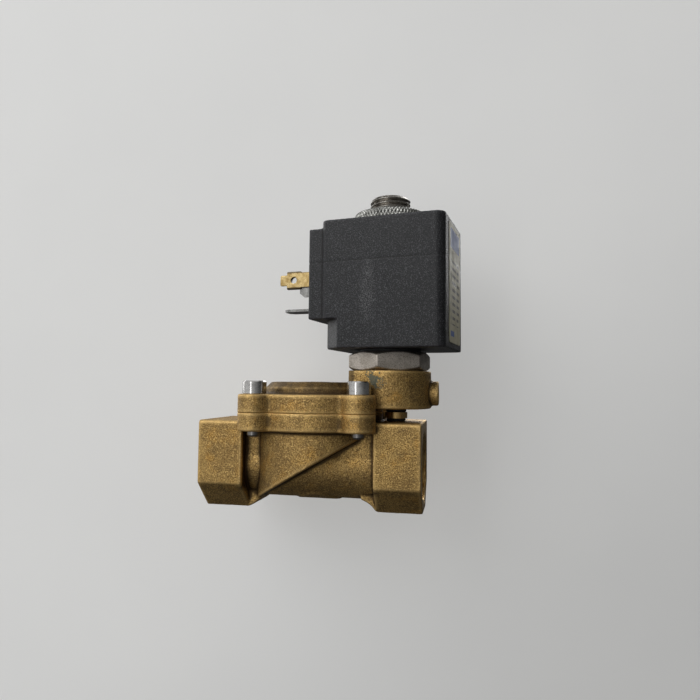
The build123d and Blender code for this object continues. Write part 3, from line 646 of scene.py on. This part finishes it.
def verdigris(look, centre, reach):
    """A ragged, slanting grey-green stain on the casting, centred at centre."""
    x, y, z = look.axes()
    height = look.math("SUBTRACT", z, centre.z)
    sideways = look.math("ADD", look.math("SUBTRACT", x, centre.x), look.product(height, 0.5))
    across = look.math("ABSOLUTE", look.math("DIVIDE", sideways, reach.x))
    up = look.math("ABSOLUTE", look.math("DIVIDE", height, reach.z))
    distance = look.math("ADD", look.math("POWER", across, 2.0), look.math("POWER", up, 2.0))
    uneven = look.span(look.noise(1.5, 4.0, 0.7), 0.3, 0.7, -0.95, 0.95)
    ragged = look.math("ADD", distance, uneven)
    near_side = look.span(y, centre.y + reach.y, centre.y)
    mask = look.product(look.span(ragged, 1.0, 0.55, 0.0, 0.9), near_side)
    look.set("Base Color", look.mix(mask, look.current("Base Color"), (0.098, 0.112, 0.082)))
    look.set("Metallic", look.math("SUBTRACT", CAST_METALLIC, look.product(mask, 0.7)))
    look.set("Roughness", look.math("ADD", look.current("Roughness"), look.product(mask, 0.25)))


def grime(look, centre, radius, low_z):
    """Dark brown baked-on film over the dome."""
    x, y, z = look.axes()
    across = look.math("SUBTRACT", x, centre.x)
    away = look.math("SUBTRACT", y, centre.y)
    squared = look.math("ADD", look.product(across, across), look.product(away, away))
    uneven = look.span(look.noise(2.4, 4.0, 0.6), 0.3, 0.7, -0.5 * MM, 0.5 * MM)
    distance = look.math("ADD", look.math("POWER", squared, 0.5), uneven)
    inside = look.span(distance, radius + 0.8 * MM, radius - 0.2 * MM)
    above = look.span(z, low_z, low_z + 0.4 * MM)
    patchy = look.span(look.noise(2.6, 3.0, 0.55), 0.40, 0.66, 0.80, 0.55)
    mask = look.product(inside, above, patchy)
    look.set("Base Color", look.mix(mask, look.current("Base Color"), (0.062, 0.043, 0.025)))


# ---- Tube, stud, nut, in mm ---------------------------------------------------------------------
HEX_VOXEL = 0.24
HEX_LOW_Z = 28.88
HEX_HIGH_Z = 34.62
HEX_CHAMFER_R = 11.1        # where the chamfers start on the hexagon's end faces
HEX_CHAMFER = math.radians(30)
HEX_INNER_R = 9.0           # the chamfer leaves everything nearer the axis alone
HEX_BUMPS = ((3.0, 0.012),)
STUD_R = 6.35
STUD_PITCH = 1.27           # 1/2-20 thread
STUD_THREAD_DEPTH = 0.72
STUD_SHOULDER = 7.0         # plain length under the thread
STUD_CHAMFER = 0.85
STUD_RIM = 1.6              # from the stud's side to the shallow dish in its end
STUD_DISH = 0.03
STUD_STEPS = 12             # rows in a pitch
STUD_COLUMNS = 128
CORE_R = 4.98
RING_GROOVE_R = (3.18, 4.22)
RING_GROOVE_DEPTH = 1.82
RING_WIDTH = 1.0
RING_BEVEL = 0.1
STOP_GAP = 0.02             # left between armature and core at full stroke
NUT_TEETH = 68
TOOTH_COLUMNS = 8
NUT_ROWS = 22
NUT_BORE_R = 6.4
NUT_SEAL_R = 8.15
NUT_SEAL_DEPTH = 0.8
NUT_BEVEL = 0.45
NUT_BORE_BEVEL = 0.6
NUT_RIM = 1.3               # width of the ring inside the knurling on the nut's top
KNURL_DEPTH = 0.42
KNURL_LENGTH = 2.4          # height in which a knurl line crosses one tooth


def tube_with_hexagon(steel_look):
    """Armature tube whose hexagon has a turned chamfer on its upper and lower corners."""
    obj = voxel_copy("armature_tube", "hexagon_tube", fine(HEX_VOXEL))
    co = coordinates(obj.data) / MM
    out = co[:, :2] - (TUBE_X / MM, 0)
    radius = np.maximum(np.hypot(out[:, 0], out[:, 1]), TINY)
    inside = np.maximum(np.minimum(co[:, 2] - HEX_LOW_Z, HEX_HIGH_Z - co[:, 2]), 0)
    limit = np.where(radius > HEX_INNER_R, HEX_CHAMFER_R + inside / math.tan(HEX_CHAMFER), radius)
    out *= np.minimum(1, limit / radius)[:, None]
    co[:, :2] = out + (TUBE_X / MM, 0)
    obj.data.vertices.foreach_set("co", (co * MM).ravel())
    soften(obj, np.ones(len(co)), 1, HEX_BUMPS)
    settle(obj, "valve", "hex_steel", ["armature_tube"], steel_look)


def threaded_stud(look):
    """Fixed core with its rolled 1/2-20 stud."""
    turn = np.arange(STUD_COLUMNS) / STUD_COLUMNS
    low, high = STUD_LOW.z / MM + STOP_GAP, STUD_HIGH.z / MM
    tube_top = TUBE_HIGH.z / MM
    inner, outer = RING_GROOVE_R
    roof = low + RING_GROOVE_DEPTH
    rows = [(0, low), (inner, low), (inner, roof), (outer, roof), (outer, low), (CORE_R, low),
            (CORE_R, tube_top), (STUD_R, tube_top)]
    start = tube_top + STUD_SHOULDER
    for height in np.arange(start, high - 0.02, STUD_PITCH / STUD_STEPS):
        wave = 0.5 + 0.5 * np.cos(math.tau * (height / STUD_PITCH - turn))
        runout = min(1.0, (height - start) / STUD_PITCH)
        threaded = STUD_R - STUD_THREAD_DEPTH * (1 - wave ** 0.8) * runout    # rounded, as rolled
        rows.append((np.minimum(threaded, STUD_R + high - STUD_CHAMFER - height), height))
    dished = high - STUD_DISH
    rows += [(STUD_R - STUD_CHAMFER, high), (STUD_R - STUD_RIM, dished), (0, dished)]
    obj = lathe("threaded_stud", rows, STUD_COLUMNS)
    about_tube(obj)
    crease(obj, 55)
    settle(obj, "valve", "core_steel", ["fixed_core"], look)


def copper_shading_ring(look):
    """Copper ring in the core's end face, with its lower edges broken."""
    low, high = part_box("shading_ring")
    outer = (high.x - low.x) / 2 / MM
    inner = outer - RING_WIDTH
    bottom, top = low.z / MM + STOP_GAP, high.z / MM
    profile = [(outer - RING_BEVEL, bottom), (outer, bottom + RING_BEVEL), (outer, top), (inner, top),
               (inner, bottom + RING_BEVEL), (inner + RING_BEVEL, bottom)]
    obj = lathe("copper_shading_ring", profile, 96, closed=True)
    about_tube(obj)
    crease(obj, 40)
    settle(obj, "valve", "copper_ring", ["shading_ring"], look)


def knurled_nut(look):
    """Ring nut with diamond knurling, a counterbore for its seal and a plain bore."""
    columns = NUT_TEETH * TOOTH_COLUMNS
    turn = np.arange(columns) / TOOTH_COLUMNS
    low, high = NUT_LOW.z / MM, NUT_HIGH.z / MM
    outer = (NUT_HIGH.x - NUT_LOW.x) / 2 / MM
    shelf = low + NUT_SEAL_DEPTH
    rows = [(NUT_BORE_R, shelf), (NUT_SEAL_R, shelf), (NUT_SEAL_R, low)]
    for step in range(NUT_ROWS + 1):
        height = low + (high - low) * step / NUT_ROWS
        lift = (height - low) / KNURL_LENGTH
        diamond = np.minimum(triangle_wave(turn + lift), triangle_wave(turn - lift))
        edge = NUT_BEVEL - min(height - low, high - height, NUT_BEVEL)
        depth = KNURL_DEPTH * (1 - diamond) * (1 - 0.5 * edge / NUT_BEVEL)
        rows.append((outer - depth - edge, height))
    rows += [(outer - NUT_RIM, high), (NUT_BORE_R + NUT_BORE_BEVEL, high),
             (NUT_BORE_R, high - NUT_BORE_BEVEL)]
    obj = lathe("knurled_nut", rows, columns, closed=True)
    about_tube(obj)
    crease(obj, 60)
    settle(obj, "nut", "zinc_steel", ["coil_nut"], look)


# ---- Coil, in mm --------------------------------------------------------------------------------
COIL_VOXEL = 0.30
COIL_BUMPS = ((9.0, 0.05), (0.7, 0.012))
MOULD_LINE_WIDTH = 0.22
MOULD_LINE_DEPTH = 0.08
RECEPTACLE_VOXEL = 0.10
LABEL_CORNER_R = 1.3
LABEL_BEVEL = 0.03          # how far the label's front stands over its rim
LABEL_FRONT = 0.996         # size of the front, as a part of the rim's
CORNER_STEPS = 8


def coil_moulding(look):
    """The coil's moulding, slightly wavy, with the fine groove of its parting line."""
    obj = voxel_copy("coil_body", "coil_moulding", fine(COIL_VOXEL))
    mesh = obj.data
    soften(obj, np.ones(len(mesh.vertices)), 3, COIL_BUMPS)
    co, normals = coordinates(mesh), vertex_normals(mesh)
    groove = np.exp(-((co[:, 2] / MM - MOULD_LINE_Z) / MOULD_LINE_WIDTH) ** 2)
    sideways = np.hypot(normals[:, 0], normals[:, 1])
    move = -MOULD_LINE_DEPTH * groove * sideways * MM
    mesh.vertices.foreach_set("co", (co + normals * move[:, None]).ravel())
    mesh.update()
    settle(obj, "coil", "coil_plastic", ["coil_body"], look)


def receptacle_sheet(look):
    """The spade receptacle with rounded sheet edges."""
    obj = voxel_copy("spade_receptacle", "receptacle_sheet", fine(RECEPTACLE_VOXEL))
    soften(obj, np.ones(len(obj.data.vertices)), 2, (), cavity_steps=20)
    settle(obj, "receptacle", "receptacle_brass", ["spade_receptacle"], look)


def label_plate(look, low, high):
    """Stuck-on label with rounded corners, drawn in the coil's own frame."""
    radius = LABEL_CORNER_R * MM
    far_y, far_z = high.y - radius, high.z - radius
    near_y, near_z = low.y + radius, low.z + radius
    outline = []
    for corner, (y, z) in enumerate(((far_y, far_z), (near_y, far_z), (near_y, near_z), (far_y, near_z))):
        for step in range(CORNER_STEPS + 1):
            angle = math.radians(90 * corner + 90 * step / CORNER_STEPS)
            outline.append(Vector((0, y, z)) + radius * Vector((0, math.cos(angle), math.sin(angle))))
    count = len(outline)
    back = [(low.x, p.y, p.z) for p in outline]
    rim = [(high.x - LABEL_BEVEL * MM, p.y, p.z) for p in outline]
    middle = Vector((0, (low.y + high.y) / 2, (low.z + high.z) / 2))
    front = [(high.x, *(middle + (p - middle) * LABEL_FRONT).yz) for p in outline]
    faces = [list(range(count))[::-1], list(range(2 * count, 3 * count))]
    for ring in (0, count):
        faces += [(ring + i, ring + (i + 1) % count, ring + count + (i + 1) % count, ring + count + i)
                  for i in range(count)]
    mesh = bpy.data.meshes.new("coil_label")
    mesh.from_pydata(back + rim + front, [], faces)
    mesh.update()
    obj = add_object("coil_label", mesh)
    obj.matrix_world = COIL_FRAME
    settle(obj, "coil", "label", ["nameplate"], look)


# ---- Springs and diaphragm, in mm ---------------------------------------------------------------
WEB_INNER_R = 9.8
WEB_OUTER_R = 15.2
RIM_THICKNESS = 1.48
MIDDLE_THICKNESS = 1.4
STEM_R = 2.9
FOLDS = 8                   # sectors of the diaphragm's web
FOLD_STEPS = 9


def squashed_spring(node, name, body, look):
    """A spring that rides on its moving end."""
    obj = add_object(name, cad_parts[node].data.copy())
    shade_smooth(obj.data)
    settle(obj, body, "spring_steel", [node], look)
    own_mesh(obj)


def web_section(radius):
    """Lower and upper height of the diaphragm at a radius."""
    low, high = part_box("diaphragm")
    bottom, split = low.z / MM, high.z / MM
    slope = (radius - WEB_INNER_R) / (WEB_OUTER_R - WEB_INNER_R)
    under = bottom + (split - RIM_THICKNESS - bottom) * slope
    over = bottom + MIDDLE_THICKNESS + (split - bottom - MIDDLE_THICKNESS) * slope
    return under, over


def diaphragm_pieces(look):
    """The membrane: middle that lifts, clamped rim, and a web of sectors between the two."""
    low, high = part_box("diaphragm")
    rim_r = (high.x - low.x) / 2 / MM
    inner, outer = web_section(WEB_INNER_R), web_section(WEB_OUTER_R)
    middle = [(STEM_R, inner[0]), (WEB_INNER_R, inner[0]), (WEB_INNER_R, inner[1]), (STEM_R, inner[1])]
    rim = [(WEB_OUTER_R, outer[0]), (rim_r, outer[0]), (rim_r, outer[1]), (WEB_OUTER_R, outer[1])]
    for name, profile, body in (("diaphragm_middle", middle, "main_valve"), ("diaphragm_rim", rim, "valve")):
        obj = lathe(name, profile, 96, closed=True)
        crease(obj, 40)
        settle(obj, body, "rubber", ["diaphragm"], look)
    radii = np.linspace(WEB_INNER_R, WEB_OUTER_R, 15)
    for fold in range(FOLDS):
        diaphragm_fold(f"diaphragm_fold_{fold + 1}", math.tau * fold / FOLDS, radii, look)


def diaphragm_fold(name, direction, radii, look):
    """One closed sector of the web."""
    half = math.pi / FOLDS
    points, faces = [], []
    for step in range(FOLD_STEPS + 1):
        angle = direction - half + 2 * half * step / FOLD_STEPS
        for level in (0, 1):
            points += [(r * math.cos(angle), r * math.sin(angle), web_section(r)[level]) for r in radii]
    count = len(radii)
    stride = 2 * count
    loop = list(range(count)) + list(range(2 * count - 1, count - 1, -1))
    for step in range(FOLD_STEPS):
        here, there = step * stride, (step + 1) * stride
        faces += [(here + a, there + a, there + b, here + b) for a, b in zip(loop, loop[1:] + loop[:1])]
    end = FOLD_STEPS * stride
    for i in range(count - 1):
        faces.append((i, i + 1, count + i + 1, count + i))
        faces.append((end + i + 1, end + i, end + count + i, end + count + i + 1))
    mesh = bpy.data.meshes.new(name)
    mesh.from_pydata([Vector(p) * MM for p in points], [], faces)
    mesh.update()
    obj = add_object(name, mesh)
    crease(obj, 40)
    paint(obj, look)
    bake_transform(obj)
    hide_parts("diaphragm")


# ---- Build ------------------------------------------------------------------------------------
COIL_FRAME = Matrix.Translation((TUBE_X, 0, 0)) @ Matrix.Rotation(COIL_TURN, 4, "Z")
LABEL_LOW = Vector((20.05, -8.2, 37.2)) * MM       # in the coil's frame, from its face outwards
LABEL_HIGH = Vector((20.20, 10.5, 73.2)) * MM
CORNER_SHADE_LOW = -9 * MM                         # the painted shade in the corners ends here
STAIN_CENTRE = Vector((20.0, -10.5, 26.3)) * MM
STAIN_REACH = Vector((2.5, 3.0, 2.7)) * MM
DOME_R = 16.9 * MM
DOME_LOW = 21.7 * MM
SCREW_DARK_Z = 12.0                       # mm, the screws are darker and rougher below it

brass = cast_brass("brass_cast")
corner_shade(brass, INLET_SHOULDER_X * MM, 2.6, CORNER_SHADE_LOW)
corner_shade(brass, OUTLET_SHOULDER_X * MM, 1.6, CORNER_SHADE_LOW)
cover_brass = cast_brass("brass_cast_cover")
verdigris(cover_brass, STAIN_CENTRE, STAIN_REACH)
grime(cover_brass, Vector((0, 0, 0)), DOME_R, DOME_LOW)
turned_brass = machined_brass("brass_machined")
hex_look = steel("steel_hexagon", (0.54, 0.49, 0.435), (0.40, 0.36, 0.31), 0.44, 0.30,
                 depth_mm=0.05, speck=0.8)
stud_look = steel("steel_stud", (0.36, 0.34, 0.31), (0.21, 0.195, 0.175), 0.28, 0.4)
screw_look = steel("steel_screws", (0.72, 0.71, 0.69), (0.50, 0.49, 0.48), 0.13, 0.5, (1, 1, 4), 0.006)
darkened_below(screw_look, SCREW_DARK_Z)
nut_look = steel("steel_nut", (0.38, 0.38, 0.36), (0.15, 0.15, 0.14), 0.28, 0.5, depth_mm=0.01)
inner_look = steel("steel_inner", (0.62, 0.62, 0.62), (0.45, 0.45, 0.45), 0.25)
spring_look = steel("steel_springs", (0.58, 0.58, 0.58), (0.40, 0.40, 0.40), 0.28)
yoke_look = steel("steel_yoke", (0.42, 0.42, 0.42), (0.30, 0.30, 0.29), 0.4)
tin_look = steel("tin_blades", (0.27, 0.27, 0.26), (0.13, 0.13, 0.125), 0.40, 0.4)
sheet_brass = folded_brass("brass_sheet")
plastic = coil_plastic("plastic_coil")
bobbin_plastic = coil_plastic("plastic_bobbin")
nitrile = rubber("rubber_black")
winding_look = copper("copper_winding", True)
ring_look = copper("copper_ring", False)
film = printed_label("label_film", LABEL_LOW, LABEL_HIGH)

body_casting(brass, turned_brass)
port_thread("inlet_thread", BODY_LOW.x, -1, turned_brass)
port_thread("outlet_thread", BODY_HIGH.x, 1, turned_brass)
cover_casting(cover_brass)
tube_with_hexagon(hex_look)
threaded_stud(stud_look)
copper_shading_ring(ring_look)
knurled_nut(nut_look)
coil_moulding(plastic)
receptacle_sheet(sheet_brass)
label_plate(film, LABEL_LOW, LABEL_HIGH)
squashed_spring("diaphragm_spring", "main_spring", "main_valve",
                spring_look)
squashed_spring("plunger_spring", "return_spring", "armature",
                spring_look)
diaphragm_pieces(nitrile)

CAD_LOOKS = (
    (screw_look, ("cover_screws",)),
    (turned_brass, ("pilot_link", "passage_plug", "pilot_seat", "diaphragm_stem", "connector_insert")),
    (nitrile, ("link_oring_lower", "link_oring_upper", "tube_oring")),
    (nitrile, ("plunger_seal", "coil_gasket", "nut_oring")),
    (inner_look, ("diaphragm_disc", "plunger")),
    (bobbin_plastic, ("coil_bobbin",)),
    (winding_look, ("coil_winding",)),
    (yoke_look, ("coil_yoke",)),
    (tin_look, ("terminal_near", "terminal_far", "terminal_earth")),
)
for look, nodes in CAD_LOOKS:
    for node in nodes:
        paint(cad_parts[node], look)
        crease(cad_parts[node], 35)


# ---- Staging ----------------------------------------------------------------------------------
TABLE_HALF = 0.9
TABLE_GLOW = (0.345, 0.22)  # painted light: the table's glow, from the upper left to the lower right of the main view


def table_surface():
    """The pale surface the valve lies on, seen face-on by the main camera, with painted light: it glows, more
    at the upper left.

    It shows only to the camera and only from its front, so that it never hides the valve."""
    look = Look("table_pale", roughness=0.7)
    marks = look.noise(60.0, 3.0, 0.5)
    look.set("Base Color", look.mix(look.span(marks, 0.3, 0.7), (0.48, 0.48, 0.475), (0.46, 0.46, 0.457)))
    look.set("Specular IOR Level", 0.1)
    downhill = look.add("ShaderNodeVectorMath", operation="DOT_PRODUCT")
    look.feed(downhill.inputs[0], look.place)
    look.feed(downhill.inputs[1], (RIGHT - UP).normalized())
    # painted light: the table glows, more strongly towards the upper left
    look.set("Emission Color", (1.0, 1.0, 0.985))
    look.set("Emission Strength", look.span(downhill.outputs["Value"], -0.02, 0.17, *TABLE_GLOW))
    geometry = look.add("ShaderNodeNewGeometry")
    facing = look.add("ShaderNodeVectorMath", operation="DOT_PRODUCT")
    look.feed(facing.inputs[0], geometry.outputs["True Normal"])
    look.feed(facing.inputs[1], geometry.outputs["Incoming"])
    seen = look.span(look.math("ABSOLUTE", facing.outputs["Value"]), 0.25, 0.6)
    front = look.math("SUBTRACT", 1.0, geometry.outputs["Backfacing"])
    camera_ray = look.add("ShaderNodeLightPath").outputs["Is Camera Ray"]
    shown = look.product(seen, front, camera_ray)
    clear = look.add("ShaderNodeBsdfTransparent")
    mixed = look.add("ShaderNodeMixShader")
    look.feed(mixed.inputs[0], shown)
    look.feed(mixed.inputs[1], clear.outputs[0])
    look.feed(mixed.inputs[2], look.shader.outputs[0])
    look.feed(look.tree.nodes["Material Output"].inputs["Surface"], mixed.outputs[0])
    corners = itertools.product(*zip(*cad_box))
    rear = max(-BACK.dot(Vector(corner)) for corner in corners)
    middle = EYE_TARGET - BACK * (rear + BACK.dot(EYE_TARGET))
    points = [middle + (RIGHT * a + UP * b) * TABLE_HALF for a, b in ((-1, -1), (1, -1), (1, 1), (-1, 1))]
    mesh = bpy.data.meshes.new("table_surface")
    mesh.from_pydata(points, [], [(0, 1, 2, 3)])
    obj = add_object("table_surface", mesh)
    paint(obj, look)


def area_light(name, direction, distance, width, height, watts):
    """Softbox aimed at the valve. direction is (right, up, towards the eye), and sizes are in metres."""
    data = bpy.data.lights.new(name, "AREA")
    data.shape = "RECTANGLE"
    data.size = width
    data.size_y = height
    data.energy = watts
    obj = bpy.data.objects.new(name, data)
    bpy.context.scene.collection.objects.link(obj)
    way = (RIGHT * direction[0] + UP * direction[1] + BACK * direction[2]).normalized()
    obj.location = EYE_TARGET + way * distance
    obj.rotation_mode = "QUATERNION"
    obj.rotation_quaternion = way.to_track_quat("Z", "Y")


ROOM_GREYS = ((0.35, 0.14), (0.55, 0.40), (0.75, 0.85))    # brightness from lower right to upper left
ROOM_STRENGTH = 0.62


def surroundings():
    """Pale grey room: plain to the eye, and brighter at the upper left for reflections and fill."""
    world = bpy.data.worlds.new("room")
    bpy.context.scene.world = world
    world.use_nodes = True
    tree = world.node_tree
    tree.nodes.clear()

    def add(kind, **settings):
        node = tree.nodes.new(kind)
        for key, value in settings.items():
            setattr(node, key, value)
        return node

    place = add("ShaderNodeTexCoord")
    along = add("ShaderNodeVectorMath", operation="DOT_PRODUCT")
    tree.links.new(place.outputs["Generated"], along.inputs[0])
    along.inputs[1].default_value = (UP * 0.75 - RIGHT * 0.6 + BACK * 0.2).normalized()
    ramp = add("ShaderNodeValToRGB")
    spread = add("ShaderNodeMapRange")
    tree.links.new(along.outputs["Value"], spread.inputs["Value"])
    spread.inputs["From Min"].default_value = -1.0
    tree.links.new(spread.outputs[0], ramp.inputs[0])
    ramp.color_ramp.elements[0].color = (0.05, 0.05, 0.05, 1)
    ramp.color_ramp.elements[1].color = (1.0, 1.0, 1.0, 1)
    for position, grey in ROOM_GREYS:
        element = ramp.color_ramp.elements.new(position)
        element.color = (grey, grey, grey * 0.99, 1)
    lit = add("ShaderNodeBackground")
    tree.links.new(ramp.outputs[0], lit.inputs["Color"])
    lit.inputs["Strength"].default_value = ROOM_STRENGTH
    plain = add("ShaderNodeBackground")
    plain.inputs["Color"].default_value = (0.66, 0.66, 0.655, 1)
    light_path = add("ShaderNodeLightPath")
    mixed = add("ShaderNodeMixShader")
    tree.links.new(light_path.outputs["Is Camera Ray"], mixed.inputs[0])
    tree.links.new(lit.outputs[0], mixed.inputs[1])
    tree.links.new(plain.outputs[0], mixed.inputs[2])
    output = add("ShaderNodeOutputWorld")
    tree.links.new(mixed.outputs[0], output.inputs["Surface"])


table_surface()
surroundings()
area_light("key_softbox", (-0.70, 0.68, 0.62), 0.62, 0.42, 0.42, 1.40)
area_light("window_strip", (-0.50, 0.06, 0.85), 0.60, 0.10, 0.50, 0.32)
area_light("rear_softbox", (0.3, 0.5, -0.9), 0.8, 0.6, 0.6, 3.0)
area_light("rear_left_softbox", (-0.8, 0.25, -0.55), 0.8, 0.5, 0.5, 1.2)

camera = bpy.data.cameras.new("eye")
camera.lens = EYE_LENS
camera.sensor_width = 36.0
camera.clip_start = 0.005
eye = bpy.data.objects.new("eye", camera)
bpy.context.scene.collection.objects.link(eye)
bpy.context.scene.camera = eye
eye.location = EYE_TARGET + BACK * EYE_DISTANCE
eye.rotation_mode = "QUATERNION"
eye.rotation_quaternion = (-BACK).to_track_quat("-Z", "Y") @ Matrix.Rotation(EYE_ROLL, 4, "Z").to_quaternion()

bpy.context.scene.view_settings.view_transform = "Standard"
